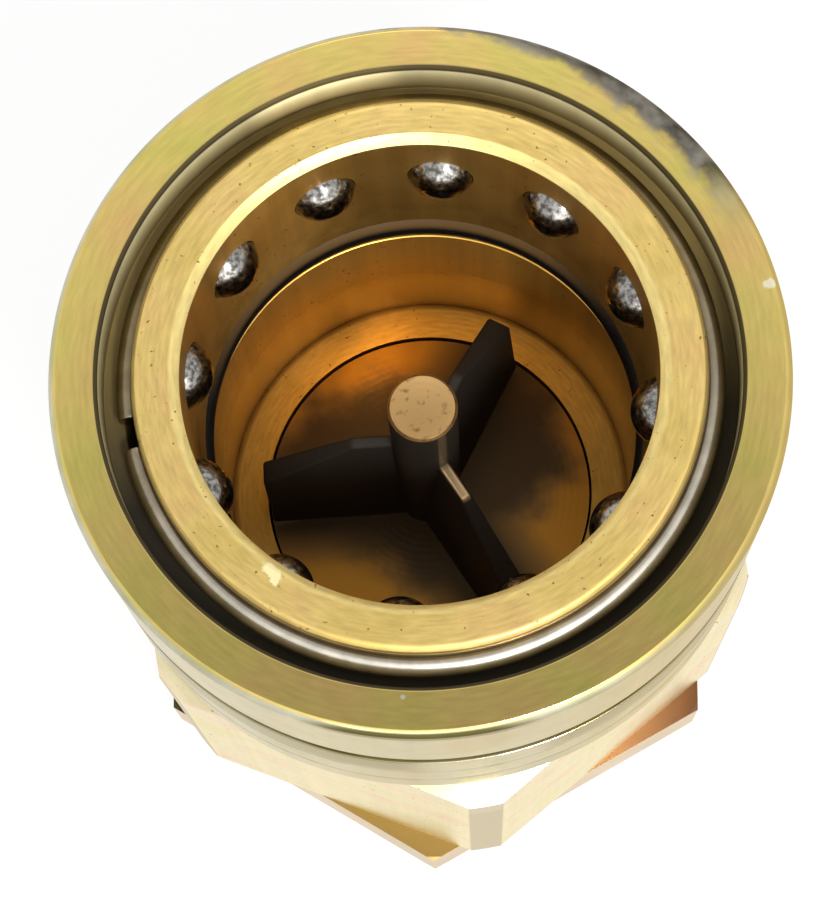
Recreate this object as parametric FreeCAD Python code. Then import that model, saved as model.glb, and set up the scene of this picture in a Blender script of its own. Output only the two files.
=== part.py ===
# Quick connect coupling, the female half: a ball lock under a sliding sleeve, and a winged valve.
# The axis is +Z. The origin is the centre of the port face, which it stands on.
# Depths are measured down from the mouth. Millimetres and degrees.
import FreeCAD, Part
import math
import os

# The plug that it takes, and the bore for its nose
plug_nose_diameter = 34.3
nose_clearance = 0.1
guide_bore_clearance = 0.2
entry_bore_clearance = 0.55
entry_bore_depth = 13.0
entry_taper_length = 1.2
mouth_chamfer_width = 0.75
mouth_chamfer_depth = 0.6
rim_round = 0.7
nose_pocket_depth = 36.7

# Locking balls
ball_count = 12
ball_diameter = 5.556
ball_depth = 6.7
ball_first_angle = 15.0
ball_reach = 1.2
ball_release_gap = 0.1
ball_stand = 0.1
ball_hole_clearance = 0.05
ball_cone_clearance = 0.06
lock_cone_angle = 13.5
lock_land_length = 2.0

# Retaining ring of round wire
ring_wire = 2.0
ring_depth = 2.6
ring_stand = 0.35
ring_gap_angle = 6.0
ring_gap_place = 181.6
ring_groove_clearance = 0.02
ring_seat_clearance = 0.1

# Locking sleeve
sleeve_wall = 3.3
sleeve_running_clearance = 0.08
sleeve_recess_gap = 1.1
sleeve_stop_gap = 0.6
skirt_overlap = 2.1
grip_groove_depth = 10.6
grip_groove_width = 2.0
grip_groove_cut = 0.9
line_groove_width = 0.5
line_groove_cut = 0.25
line_groove_count = 2
sleeve_front_chamfer = 0.5
sleeve_bore_break = 0.25
sleeve_end_chamfer = 0.5

# Springs: wire, half turns with a flat one at each end, and the room left round the wire
sleeve_spring_wire = 1.4
sleeve_spring_half_turns = 9
sleeve_spring_inner_gap = 0.8
sleeve_spring_outer_gap = 0.6
valve_spring_wire = 1.0
valve_spring_half_turns = 7
valve_spring_inner_gap = 2.0

# Round seals
nose_seal_section = 3.0
nose_seal_squeeze = 0.3
nose_seal_depth = 17.4
nose_seal_groove_width = 3.6
poppet_seal_section = 2.0
poppet_seal_gap = 0.05
adapter_seal_section = 1.6
adapter_seal_groove_width = 2.2
adapter_seal_setback = 1.2
seal_fit = 0.02

# Valve seat and chamber in the body
ledge_width = 3.05
seat_bore_length = 2.5
seat_cone_width = 3.0
chamber_shoulder = 1.6
chamber_length = 5.3

# Poppet
poppet_bore_clearance = 0.2
poppet_seat_clearance = 0.15
poppet_face_drop = 0.4
poppet_flange_thickness = 1.6
poppet_stop_gap = 1.0
pin_diameter = 5.5
pin_top_depth = 10.6
pin_break = 0.2
wing_count = 3
wing_first_angle = 53.3
wing_base_width = 3.6
wing_top_width = 1.0
wing_tip_depth = 27.3
wing_top_depth = 19.5
wing_top_radius = 6.0
wing_root_in_face = 0.5
stem_diameter = 7.0
stem_clearance = 0.05
stem_past_guide = 0.5

# Valve guide, a ring with arms and a hub
guide_ring_width = 2.5
guide_ring_thickness = 2.5
guide_ring_clearance = 0.1
guide_arm_count = 3
guide_arm_width = 3.5
guide_arm_first_angle = 20.0
guide_hub_wall = 2.45
guide_hub_length = 6.0
guide_seat_rise = 6.6

# End adapter, screwed into the back of the body
flange_room = 1.4
adapter_thread_clearance = 0.1
adapter_engagement = 16.0
adapter_end_gap = 0.5
adapter_wall = 2.9
adapter_hex_length = 7.4
adapter_hex_angle = 19.4
adapter_end_chamfer = 0.8
port_thread_diameter = 33.25
port_thread_length = 13.0
port_passage_diameter = 30.0
port_countersink_width = 0.8

# Wrench hexes
hex_wall = 3.8
body_hex_length = 32.8
body_hex_angle = 29.5
hex_corner_trim = 0.76
hex_top_flat_setback = 0.4
hex_chamfer_angle = 25.0
hex_joint_chamfer = 0.4
hex_cut_margin = 1.0

# Radii of the nose bore, the balls and the barrel round them
nose_radius = plug_nose_diameter / 2
seal_bore_radius = nose_radius + nose_clearance
guide_bore_radius = seal_bore_radius + guide_bore_clearance
entry_bore_radius = seal_bore_radius + entry_bore_clearance
mouth_radius = entry_bore_radius + mouth_chamfer_width
ball_radius = ball_diameter / 2
ball_centre_radius = nose_radius - ball_reach + ball_radius
ball_travel = ball_reach + ball_release_gap
barrel_radius = ball_centre_radius + ball_radius - ball_stand
ring_radius = barrel_radius + ring_stand
ring_outer_radius = ring_radius + ring_wire / 2

# Depths along the body, each from the one before
seat_bore_end = nose_pocket_depth + seat_bore_length
seat_cone_end = seat_bore_end + seat_cone_width
chamber_end = seat_cone_end + chamber_length
spigot_top = chamber_end + adapter_end_gap
body_length = spigot_top + adapter_engagement
overall_length = body_length + adapter_hex_length
hex_top = body_length - body_hex_length
guide_shoulder = body_length - guide_seat_rise
port_top = overall_length - port_thread_length

# The sleeve rides the balls on its cone, so its travel follows from theirs
lock_slope = math.tan(math.radians(lock_cone_angle))
sleeve_travel = ball_travel / lock_slope
sleeve_length = hex_top - sleeve_travel - sleeve_stop_gap
sleeve_land_radius = barrel_radius + sleeve_running_clearance
sleeve_recess_radius = ring_outer_radius + sleeve_recess_gap
shoulder_depth = ring_depth + ring_wire / 2 + ring_seat_clearance
cone_reach = (ball_radius + ball_cone_clearance) / math.cos(math.radians(lock_cone_angle))
cone_at_ball = ball_centre_radius + cone_reach
shoulder_radius = cone_at_ball + lock_slope * (ball_depth - shoulder_depth)
cone_end = ball_depth + (cone_at_ball - sleeve_land_radius) / lock_slope
spring_shoulder = cone_end + lock_land_length
sleeve_spring_radius = barrel_radius + sleeve_spring_inner_gap + sleeve_spring_wire / 2
skirt_radius = sleeve_spring_radius + sleeve_spring_wire / 2 + sleeve_spring_outer_gap
sleeve_radius = skirt_radius + sleeve_wall
land_radius = skirt_radius - sleeve_running_clearance
land_start = sleeve_length - skirt_overlap

# Seal places
nose_seal_radius = seal_bore_radius - nose_seal_squeeze + nose_seal_section / 2
nose_groove_root = nose_seal_radius + nose_seal_section / 2 + seal_fit
nose_groove_start = nose_seal_depth - nose_seal_groove_width / 2
nose_groove_end = nose_seal_depth + nose_seal_groove_width / 2

# Valve radii and depths
seat_bore_radius = seal_bore_radius - ledge_width
seat_cone_radius = seat_bore_radius + seat_cone_width
poppet_radius = seat_bore_radius - poppet_bore_clearance
poppet_face = nose_pocket_depth + poppet_face_drop
poppet_cone_shift = poppet_seat_clearance * math.sqrt(2)
poppet_cone_start = seat_bore_end + poppet_radius - seat_bore_radius + poppet_cone_shift
poppet_cone_end = seat_cone_end + poppet_cone_shift
flange_end = poppet_cone_end + poppet_flange_thickness
poppet_seal_inset = (poppet_seal_section / 2 + poppet_seal_gap) / math.sqrt(2)
poppet_seal_radius = (seat_bore_radius + seat_cone_radius) / 2 - poppet_seal_inset
poppet_seal_depth = (seat_bore_end + seat_cone_end) / 2 + poppet_seal_inset
pin_radius = pin_diameter / 2
stem_radius = stem_diameter / 2
stem_end = guide_shoulder + stem_past_guide

# Adapter and guide radii
counterbore_radius = seat_cone_radius + flange_room
spigot_radius = counterbore_radius + adapter_wall
thread_bore_radius = spigot_radius + adapter_thread_clearance
chamber_radius = spigot_radius - chamber_shoulder
guide_radius = counterbore_radius - guide_ring_clearance
guide_top = guide_shoulder - guide_ring_thickness
hub_bore_radius = stem_radius + stem_clearance
hub_radius = hub_bore_radius + guide_hub_wall
hub_top = guide_shoulder - guide_hub_length
poppet_stroke = hub_top - flange_end - poppet_stop_gap
valve_spring_radius = hub_radius + valve_spring_inner_gap + valve_spring_wire / 2
adapter_groove_start = spigot_top + adapter_seal_setback
adapter_groove_end = adapter_groove_start + adapter_seal_groove_width
adapter_seal_radius = thread_bore_radius - adapter_seal_section / 2 - seal_fit
adapter_groove_root = adapter_seal_radius - adapter_seal_section / 2 - seal_fit
port_radius = port_thread_diameter / 2
passage_radius = port_passage_diameter / 2

# Hex radii
hex_across_flats = 2 * (thread_bore_radius + hex_wall)
hex_sharp_radius = hex_across_flats / math.sqrt(3)
hex_turned_radius = hex_sharp_radius - hex_corner_trim
hex_flat_radius = hex_across_flats / 2 - hex_top_flat_setback
hex_chamfer_slope = math.tan(math.radians(hex_chamfer_angle))

axis = FreeCAD.Vector(0, 0, 1)
centre = FreeCAD.Vector(0, 0, 0)


def height(depth):
    """Height above the port face of a depth below the mouth."""
    return overall_length - depth


def plate(corners):
    """Flat face with the given corners."""
    return Part.Face(Part.makePolygon(corners + corners[:1]))


def turned(outline):
    """Solid turned about the axis from an outline of (radius, depth) points."""
    corners = [FreeCAD.Vector(radius, 0, height(depth)) for radius, depth in outline]
    solid = plate(corners).revolve(centre, axis, 360)
    if solid.Volume < 0:
        solid.reverse()
    return solid


def tube(outer, inner, start, end):
    """Plain ring between two radii and two depths."""
    return turned([(inner, start), (outer, start), (outer, end), (inner, end)])


def rod(radius, start, end):
    """Round bar on the axis between two depths."""
    return Part.makeCylinder(radius, end - start, FreeCAD.Vector(0, 0, height(end)))


def round_ring(radius, depth, section):
    """Ring of round section, such as a seal."""
    return Part.makeTorus(radius, section / 2, FreeCAD.Vector(0, 0, height(depth)))


def turned_by(shape, angle):
    """Copy of a shape turned about the axis."""
    copy = shape.copy()
    copy.rotate(centre, axis, angle)
    return copy


def rim_edges(shape, rims):
    """The circular edges that lie at the given (radius, depth) places."""
    return [edge for edge in shape.Edges if isinstance(edge.Curve, Part.Circle) and any(
        abs(edge.Curve.Radius - radius) < 1e-4 and abs(edge.Curve.Center.z - height(depth)) < 1e-4
        for radius, depth in rims)]


def hex_trim(angle, start, end):
    """What a wrench hex leaves over from a round bar: the cut outside its six flats."""
    corner = FreeCAD.Vector(hex_sharp_radius, 0, height(end))
    corners = [FreeCAD.Rotation(axis, angle + 60 * step).multVec(corner) for step in range(6)]
    prism = plate(corners).extrude(axis * (end - start))
    return rod(hex_sharp_radius + hex_cut_margin, start, end).cut(prism)


def half_ring(radius, wire, rise):
    """Half a ring of wire that climbs by a rise from +X round to -X, level at both ends."""
    reach = math.hypot(radius, rise / 2)
    half = Part.makeTorus(reach, wire / 2, centre, axis, -180, 180, 180)
    half.rotate(centre, FreeCAD.Vector(0, 1, 0), math.degrees(math.asin(rise / 2 / reach)))
    return half


def coil(radius, wire, half_turns, start, end):
    """Compression spring that fills the room between two depths, with flat half turns on its seats."""
    level = height(end) + wire / 2
    halves = []
    for step in range(half_turns):
        flat = step in (0, half_turns - 1)
        rise = 0 if flat else (end - start - wire) / (half_turns - 2)
        half = turned_by(half_ring(radius, wire, rise), 180 * step)
        half.translate(FreeCAD.Vector(0, 0, level + rise / 2))
        halves.append(half)
        level += rise
    return halves[0].multiFuse(halves[1:])


def make_coupling_body():
    """Barrel with the nose bore and ball holes, the sleeve's guide land, and the wrench hex."""
    chamfer_drop = (hex_turned_radius - hex_flat_radius) * hex_chamfer_slope
    joint_drop = hex_joint_chamfer * hex_chamfer_slope
    outline = [
        (mouth_radius, 0), (barrel_radius, 0), (barrel_radius, land_start), (land_radius, land_start),
        (land_radius, hex_top), (hex_flat_radius, hex_top), (hex_turned_radius, hex_top + chamfer_drop),
        (hex_turned_radius, body_length - joint_drop), (hex_turned_radius - hex_joint_chamfer, body_length),
        (thread_bore_radius, body_length), (thread_bore_radius, chamber_end), (chamber_radius, chamber_end),
        (chamber_radius, seat_cone_end), (seat_cone_radius, seat_cone_end), (seat_bore_radius, seat_bore_end),
        (seat_bore_radius, nose_pocket_depth), (seal_bore_radius, nose_pocket_depth),
        (seal_bore_radius, nose_groove_end), (nose_groove_root, nose_groove_end),
        (nose_groove_root, nose_groove_start), (guide_bore_radius, nose_groove_start),
        (guide_bore_radius, entry_bore_depth + entry_taper_length), (entry_bore_radius, entry_bore_depth),
        (entry_bore_radius, mouth_chamfer_depth)]
    body = turned(outline)
    body = body.makeFillet(rim_round, rim_edges(body, [(barrel_radius, 0)]))
    body = body.cut(hex_trim(body_hex_angle, hex_top, body_length))
    body = body.cut(round_ring(ring_radius, ring_depth, ring_wire + 2 * ring_groove_clearance))
    hole_radius = ball_radius + ball_hole_clearance
    place = FreeCAD.Vector(ball_centre_radius, 0, height(ball_depth))
    hole = Part.makeCylinder(hole_radius, barrel_radius, place, FreeCAD.Vector(1, 0, 0))
    hole = hole.fuse(Part.makeSphere(hole_radius, place))
    for angle in ball_angles():
        body = body.cut(turned_by(hole, angle))
    return body


def ball_angles():
    """Places of the balls round the axis."""
    return [ball_first_angle + step * 360 / ball_count for step in range(ball_count)]


def make_locking_sleeve():
    """Sleeve with its lock cone and land over the balls, and a skirt round its spring."""
    grip_root = sleeve_radius - grip_groove_cut
    grip_end = grip_groove_depth + grip_groove_width
    outline = [
        (sleeve_recess_radius, 0), (sleeve_radius, 0),
        (sleeve_radius, grip_groove_depth), (grip_root, grip_groove_depth + grip_groove_cut / 2),
        (grip_root, grip_end), (sleeve_radius, grip_end)]
    for step in range(1, line_groove_count + 1):
        line = grip_end + (sleeve_length - grip_end) * step / (line_groove_count + 1)
        outline += [
            (sleeve_radius, line), (sleeve_radius - line_groove_cut, line + line_groove_width / 2),
            (sleeve_radius, line + line_groove_width)]
    outline += [
        (sleeve_radius, sleeve_length), (skirt_radius, sleeve_length), (skirt_radius, spring_shoulder),
        (sleeve_land_radius, spring_shoulder), (sleeve_land_radius, cone_end),
        (shoulder_radius, shoulder_depth), (sleeve_recess_radius, shoulder_depth)]
    sleeve = turned(outline)
    sleeve = sleeve.makeChamfer(sleeve_front_chamfer, rim_edges(sleeve, [(sleeve_radius, 0)]))
    sleeve = sleeve.makeChamfer(sleeve_bore_break, rim_edges(sleeve, [(sleeve_recess_radius, 0)]))
    return sleeve.makeChamfer(sleeve_end_chamfer, rim_edges(sleeve, [(sleeve_radius, sleeve_length)]))


def make_locking_ball(angle):
    """One steel ball, locked in its hole."""
    place = FreeCAD.Vector(ball_centre_radius, 0, height(ball_depth))
    return turned_by(Part.makeSphere(ball_radius, place), angle)


def make_retaining_ring():
    """Open ring of round wire that keeps the sleeve on."""
    sweep = 360 - ring_gap_angle
    ring = Part.makeTorus(
        ring_radius, ring_wire / 2, FreeCAD.Vector(0, 0, height(ring_depth)), axis, -180, 180, sweep)
    return turned_by(ring, ring_gap_place + ring_gap_angle / 2)


def make_wing():
    """One wing on the poppet, narrower at its top, that falls away from the pin to the seat bore."""
    wing_root = poppet_face + wing_root_in_face
    side = [FreeCAD.Vector(radius, -wing_base_width, height(depth)) for radius, depth in (
        (0, wing_top_depth), (wing_top_radius, wing_top_depth), (poppet_radius, wing_tip_depth),
        (poppet_radius, wing_root), (0, wing_root))]
    section = [FreeCAD.Vector(0, width, height(depth)) for width, depth in (
        (-wing_top_width / 2, wing_top_depth), (wing_top_width / 2, wing_top_depth),
        (wing_base_width / 2, wing_root), (-wing_base_width / 2, wing_root))]
    wing = plate(side).extrude(FreeCAD.Vector(0, 2 * wing_base_width, 0))
    wing = wing.common(plate(section).extrude(FreeCAD.Vector(poppet_radius, 0, 0)))
    return wing.common(rod(poppet_radius, wing_top_depth, wing_root))


def make_poppet():
    """Valve with its push pin, wings that guide it in the seat bore, and its stem."""
    outline = [
        (0, pin_top_depth), (pin_radius - pin_break, pin_top_depth), (pin_radius, pin_top_depth + pin_break),
        (pin_radius, poppet_face), (poppet_radius, poppet_face), (poppet_radius, poppet_cone_start),
        (seat_cone_radius, poppet_cone_end), (seat_cone_radius, flange_end), (stem_radius, flange_end),
        (stem_radius, stem_end), (0, stem_end)]
    groove = round_ring(poppet_seal_radius, poppet_seal_depth, poppet_seal_section + 2 * seal_fit)
    poppet = turned(outline).cut(groove)
    wing = make_wing()
    for step in range(wing_count):
        poppet = poppet.fuse(turned_by(wing, wing_first_angle + step * 360 / wing_count))
    return poppet.removeSplitter()


def make_valve_guide():
    """Ring on the adapter's shoulder, with arms to the hub that the stem slides in."""
    guide = tube(guide_radius, guide_radius - guide_ring_width, guide_top, guide_shoulder)
    arm = Part.makeBox(
        guide_radius - guide_ring_width / 2, guide_arm_width, guide_ring_thickness,
        FreeCAD.Vector(0, -guide_arm_width / 2, height(guide_shoulder)))
    for step in range(guide_arm_count):
        guide = guide.fuse(turned_by(arm, guide_arm_first_angle + step * 360 / guide_arm_count))
    guide = guide.fuse(rod(hub_radius, hub_top, guide_shoulder))
    return guide.cut(rod(hub_bore_radius, hub_top, guide_shoulder)).removeSplitter()


def make_end_adapter():
    """Hex end with the threaded port, and the spigot that screws into the body."""
    end_drop = adapter_end_chamfer * hex_chamfer_slope
    joint_drop = hex_joint_chamfer * hex_chamfer_slope
    outline = [
        (counterbore_radius, spigot_top), (spigot_radius, spigot_top),
        (spigot_radius, adapter_groove_start), (adapter_groove_root, adapter_groove_start),
        (adapter_groove_root, adapter_groove_end), (spigot_radius, adapter_groove_end),
        (spigot_radius, body_length), (hex_sharp_radius - hex_joint_chamfer, body_length),
        (hex_sharp_radius, body_length + joint_drop), (hex_sharp_radius, overall_length - end_drop),
        (hex_sharp_radius - adapter_end_chamfer, overall_length),
        (port_radius + port_countersink_width, overall_length),
        (port_radius, overall_length - port_countersink_width), (port_radius, port_top),
        (passage_radius, port_top), (passage_radius, guide_shoulder), (counterbore_radius, guide_shoulder)]
    return turned(outline).cut(hex_trim(adapter_hex_angle, body_length, overall_length))


solids = {
    "coupling_body": make_coupling_body(),
    "locking_sleeve": make_locking_sleeve(),
    "retaining_ring": make_retaining_ring(),
    "sleeve_spring": coil(
        sleeve_spring_radius, sleeve_spring_wire, sleeve_spring_half_turns, spring_shoulder, land_start),
    "nose_seal": round_ring(nose_seal_radius, nose_seal_depth, nose_seal_section),
    "poppet": make_poppet(),
    "poppet_seal": round_ring(poppet_seal_radius, poppet_seal_depth, poppet_seal_section),
    "valve_spring": coil(
        valve_spring_radius, valve_spring_wire, valve_spring_half_turns, flange_end, guide_top),
    "valve_guide": make_valve_guide(),
    "adapter_seal": round_ring(
        adapter_seal_radius, (adapter_groove_start + adapter_groove_end) / 2, adapter_seal_section),
    "end_adapter": make_end_adapter(),
}
for number, angle in enumerate(ball_angles(), 1):
    solids["locking_ball_%02d" % number] = make_locking_ball(angle)

os.makedirs("parts", exist_ok=True)
for name, shape in solids.items():
    print(name, shape.ShapeType, shape.isValid(), "%.1f mm3" % shape.Volume)
    shape.exportStep("parts/%s.step" % name)
print("overall length %.2f, sleeve %.2f long, travel %.3f, ball travel %.3f, ratio %.5f" % (
    overall_length, sleeve_length, sleeve_travel, ball_travel, lock_slope))
print("poppet stroke %.3f, sleeve diameter %.2f" % (poppet_stroke, 2 * sleeve_radius))
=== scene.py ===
# %% [markdown]
# This lesson dresses one half of a quick connect coupling: the half that a plug is pushed into.
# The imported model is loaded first. It is the fixed frame, so every new piece is made at its real
# place in metres and nothing has to be fitted afterwards.

# %% Load the frame
import math
from functools import partial

import bpy
from mathutils import Matrix, Vector


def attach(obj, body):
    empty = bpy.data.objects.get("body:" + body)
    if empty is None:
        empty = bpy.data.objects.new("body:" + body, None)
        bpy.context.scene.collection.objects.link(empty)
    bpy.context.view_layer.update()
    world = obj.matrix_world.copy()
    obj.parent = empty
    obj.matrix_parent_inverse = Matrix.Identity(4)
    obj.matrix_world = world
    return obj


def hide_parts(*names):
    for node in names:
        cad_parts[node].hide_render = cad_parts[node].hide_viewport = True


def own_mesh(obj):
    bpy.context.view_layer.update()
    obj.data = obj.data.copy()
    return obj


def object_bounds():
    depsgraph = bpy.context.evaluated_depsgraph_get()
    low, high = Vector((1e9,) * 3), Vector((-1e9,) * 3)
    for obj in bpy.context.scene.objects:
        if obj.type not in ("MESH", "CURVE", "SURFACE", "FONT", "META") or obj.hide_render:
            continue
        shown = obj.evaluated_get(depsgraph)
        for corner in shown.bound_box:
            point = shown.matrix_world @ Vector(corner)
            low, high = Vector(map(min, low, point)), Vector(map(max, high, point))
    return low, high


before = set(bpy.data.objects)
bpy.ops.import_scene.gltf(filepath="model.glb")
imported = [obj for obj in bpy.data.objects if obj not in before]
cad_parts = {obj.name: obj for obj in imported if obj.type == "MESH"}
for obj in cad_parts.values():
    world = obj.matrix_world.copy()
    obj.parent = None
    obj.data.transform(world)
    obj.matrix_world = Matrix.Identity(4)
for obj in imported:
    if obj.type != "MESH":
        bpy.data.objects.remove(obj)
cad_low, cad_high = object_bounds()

MM = 0.001
mouth_height = cad_high.z
print("the model is", [round(side / MM, 1) for side in cad_high - cad_low], "mm")

# %% [markdown]
# The camera comes first, because every later choice is judged through it. The photograph looks down
# into the bore from about 74 degrees above the floor, a little rolled. A long lens of 100 mm keeps
# the hexes at the far end nearly as wide as the sleeve.

# %% Camera
camera_elevation = math.radians(74.480)
camera_azimuth = math.radians(-3.895)
camera_roll = math.radians(-6.385)
backward = Vector((
    math.sin(camera_azimuth) * math.cos(camera_elevation),
    -math.cos(camera_azimuth) * math.cos(camera_elevation),
    math.sin(camera_elevation)))
level_right = Vector((math.cos(camera_azimuth), math.sin(camera_azimuth), 0))
right = Matrix.Rotation(camera_roll, 3, backward) @ level_right
upward = backward.cross(right)
camera_place = [c * MM for c in (-5.095, -54.731, 246.742)]
bpy.ops.object.camera_add(location=camera_place)
camera = bpy.context.object
camera.rotation_euler = Matrix((right, upward, backward)).transposed().to_euler()
camera.data.lens = 99.726
camera.data.clip_start = 0.01
bpy.context.scene.camera = camera
bpy.context.scene.view_settings.view_transform = "Standard"
print("camera at", [round(x / MM, 1) for x in camera.location], "mm")

# %% [markdown]
# Every material and the room are small networks of nodes. One helper adds a node: it sets the node's
# properties and fills its sockets. A number is set, a node is linked by its first output in use, and
# a colour is written as sRGB hex and turned to the linear values that light adds up in. Sockets go by
# name or by number. On a Map Range node 0 is the value, 1 and 2 are the range that it comes from, 3
# and 4 the range that it goes to, which is 0 to 1 if nothing is said. On a Mix node 0 is the factor,
# 6 and 7 are the two colours, 2 and 3 the two numbers.


# %% A helper that adds one node
# settings that many nodes share
SOFT_STEP = {"interpolation_type": "SMOOTHSTEP"}
COLOURS = {"data_type": "RGBA"}
MULTIPLY = {"data_type": "RGBA", "blend_type": "MULTIPLY"}


def linear(hex_colour):
    """Turns an sRGB hex colour into the linear colour that a socket takes."""
    parts = [int(hex_colour[i:i + 2], 16) / 255 for i in (1, 3, 5)]
    return [c / 12.92 if c <= 0.04045 else ((c + 0.055) / 1.055) ** 2.4 for c in parts] + [1.0]


def connect(node, inputs):
    """Fills a node's sockets: nodes and sockets are linked, hex colours made linear, numbers set."""
    for socket, value in inputs.items():
        if isinstance(value, bpy.types.Node):
            value = next(output for output in value.outputs if output.enabled)
        if isinstance(value, bpy.types.NodeSocket):
            node.id_data.links.new(value, node.inputs[socket])
        else:
            node.inputs[socket].default_value = linear(value) if isinstance(value, str) else value


def add_node(tree, kind, inputs=None, stops=(), **properties):
    """Adds a node with its properties, its inputs and a colour ramp's stops."""
    node = tree.nodes.new("ShaderNode" + kind)
    for name, value in properties.items():
        setattr(node, name, value)
    connect(node, inputs or {})
    for number, (position, colour) in enumerate(stops):
        ramp = node.color_ramp.elements
        stop = ramp[number] if number < 2 else ramp.new(position)
        stop.position = position
        stop.color = linear(colour)
    return node


# %% [markdown]
# Metal shows what is around it, so the room matters more than the lamps. The room is a white studio.
# Straight overhead, where the camera stands, a dim disc darkens the near half of the sleeve's polished
# face. In front a wide window glows a little brighter than the rest. Each is a soft step on the angle
# from its middle. Two softboxes fill in, and a small key lamp reaches the back wall of the bore.


# %% Room and lamps
def glow_round(middle, edge, core, outside, inside):
    """Brightness that goes from outside to inside between two angles, in degrees, from a direction."""
    nearness = add_node(room, "VectorMath", {0: direction, 1: middle}, operation="DOT_PRODUCT")
    return add_node(room, "MapRange", {
        0: nearness, 1: math.cos(math.radians(edge)), 2: math.cos(math.radians(core)),
        3: outside, 4: inside}, **SOFT_STEP)


def add_lamp(name, place, width, tall, power):
    """A rectangular area lamp that points at the coupling's middle; sizes in millimetres."""
    bpy.ops.object.light_add(type="AREA", location=[c * MM for c in place])
    lamp = bpy.context.object
    lamp.name = name
    lamp.data.shape = "RECTANGLE"
    lamp.data.size = width * MM
    lamp.data.size_y = tall * MM
    lamp.data.energy = power
    lamp.visible_camera = False
    aim = Vector((0, 0, mouth_height / 2)) - lamp.location
    lamp.rotation_euler = aim.to_track_quat("-Z", "Y").to_euler()


world = bpy.data.worlds.new("white_studio")
bpy.context.scene.world = world
world.use_nodes = True
room = world.node_tree
room.nodes.clear()
direction = add_node(room, "TexCoord").outputs["Generated"]
disc_tilt = math.radians(5)
disc_middle = (0.0, math.sin(disc_tilt), math.cos(disc_tilt))
dim_disc = glow_round(disc_middle, edge=15.8, core=11.5, outside=1.0, inside=0.46)
window_middle = Vector((0.1, -0.8, 0.6)).normalized()
window = glow_round(window_middle, edge=58, core=30, outside=0.0, inside=0.45)
brightness = add_node(room, "Math", {0: dim_disc, 1: window})
sky = add_node(room, "Background", {"Color": "#ffffff", "Strength": brightness})
add_node(room, "OutputWorld", {"Surface": sky})
add_lamp("softbox_back", (60, 330, 420), width=160, tall=160, power=0.15)
add_lamp("softbox_front", (20, -430, 270), width=520, tall=150, power=0.6)
add_lamp("key_lamp", (100, -320, 480), width=90, tall=90, power=1.7)

# %% [markdown]
# The floor is a pale card. Its own light for camera and mirror rays brings it to white, while the
# diffuse part keeps a faint shadow under the coupling. It lies a hair below the port's face, so that
# the two never lie in one plane.

# %% Floor
floor_size, floor_gap, glow_share = 6.0, 0.02 * MM, 0.85
bpy.ops.object.select_all(action="DESELECT")
bpy.ops.mesh.primitive_plane_add(size=floor_size, location=(0, 0, -floor_gap))
floor = bpy.context.object
floor.name = "floor"
card = bpy.data.materials.new("white_card")
card.use_nodes = True
tree = card.node_tree
tree.nodes.clear()
rays = add_node(tree, "LightPath").outputs
seen = add_node(tree, "Math", {0: rays["Is Camera Ray"], 1: rays["Is Glossy Ray"]}, operation="MAXIMUM")
glow = add_node(tree, "Emission", {"Color": "#ffffff", "Strength": seen})
matt = add_node(tree, "BsdfDiffuse", {"Color": "#e8e8e6"})
both = add_node(tree, "MixShader", {"Fac": glow_share, 1: matt, 2: glow})
add_node(tree, "OutputMaterial", {"Surface": both})
floor.data.materials.append(card)
print("floor of", card.name)

# %% [markdown]
# Pieces are modelled as by hand: a primitive is added, opened in edit mode and shaped there. An
# operator acts on all that is selected, so everything else is deselected first. Faces are turned
# outwards before a mesh is closed, because spinning can leave it inside out.


# %% Opening and closing a mesh
def height(depth):
    """Height in metres of a depth in millimetres below the mouth."""
    return mouth_height - depth * MM


def only_select(piece):
    """Makes a piece the one that operators act on."""
    bpy.ops.object.select_all(action="DESELECT")
    piece.select_set(True)
    bpy.context.view_layer.objects.active = piece


def open_mesh(piece):
    """Opens a piece in edit mode with all of it selected."""
    only_select(piece)
    bpy.ops.object.mode_set(mode="EDIT")
    bpy.ops.mesh.select_mode(type="VERT")
    bpy.ops.mesh.select_all(action="SELECT")


def close_mesh():
    """Turns all faces outwards and leaves edit mode."""
    bpy.ops.mesh.select_all(action="SELECT")
    bpy.ops.mesh.normals_make_consistent(inside=False)
    bpy.ops.object.mode_set(mode="OBJECT")


def start_piece(name, add_primitive, **settings):
    """Adds a primitive with nothing else selected and opens it in edit mode."""
    bpy.ops.object.select_all(action="DESELECT")
    add_primitive(**settings)
    piece = bpy.context.object
    piece.name = piece.data.name = name
    bpy.ops.object.transform_apply(location=True, rotation=True, scale=True)
    open_mesh(piece)
    return piece


# %% [markdown]
# Nearly everything here was turned on a lathe, so one helper does what a lathe does. It walks a
# point along half of the section, as (radius, depth below the mouth) in millimetres, and spins that
# line once round the axis. Sharp corners then get a small bevel, because real edges are broken and
# catch the light.


# %% The lathe
# points nearer than this, in metres, are one point
WELD = 1e-7


def draw_line(name, points):
    """Walks a point along a line of places and leaves the line selected in edit mode."""
    piece = start_piece(name, bpy.ops.mesh.primitive_plane_add, size=MM, location=points[0])
    bpy.ops.mesh.merge(type="CENTER")
    for last, point in zip(points, points[1:]):
        bpy.ops.mesh.extrude_region_move(TRANSFORM_OT_translate={"value": point - last})
    bpy.ops.mesh.select_all(action="SELECT")
    bpy.ops.mesh.remove_doubles(threshold=WELD)
    return piece


def turn_on_lathe(name, outline, steps=192, sweep=2 * math.pi, closed=True):
    """Spins an outline round the axis and returns the piece in object mode."""
    points = [Vector((radius * MM, 0, height(depth))) for radius, depth in outline]
    piece = draw_line(name, points + points[:1] if closed else points)
    bpy.ops.mesh.spin(steps=steps, angle=sweep, center=(0, 0, 0), axis=(0, 0, 1))
    bpy.ops.mesh.select_all(action="SELECT")
    bpy.ops.mesh.remove_doubles(threshold=WELD)
    close_mesh()
    return piece


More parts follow.
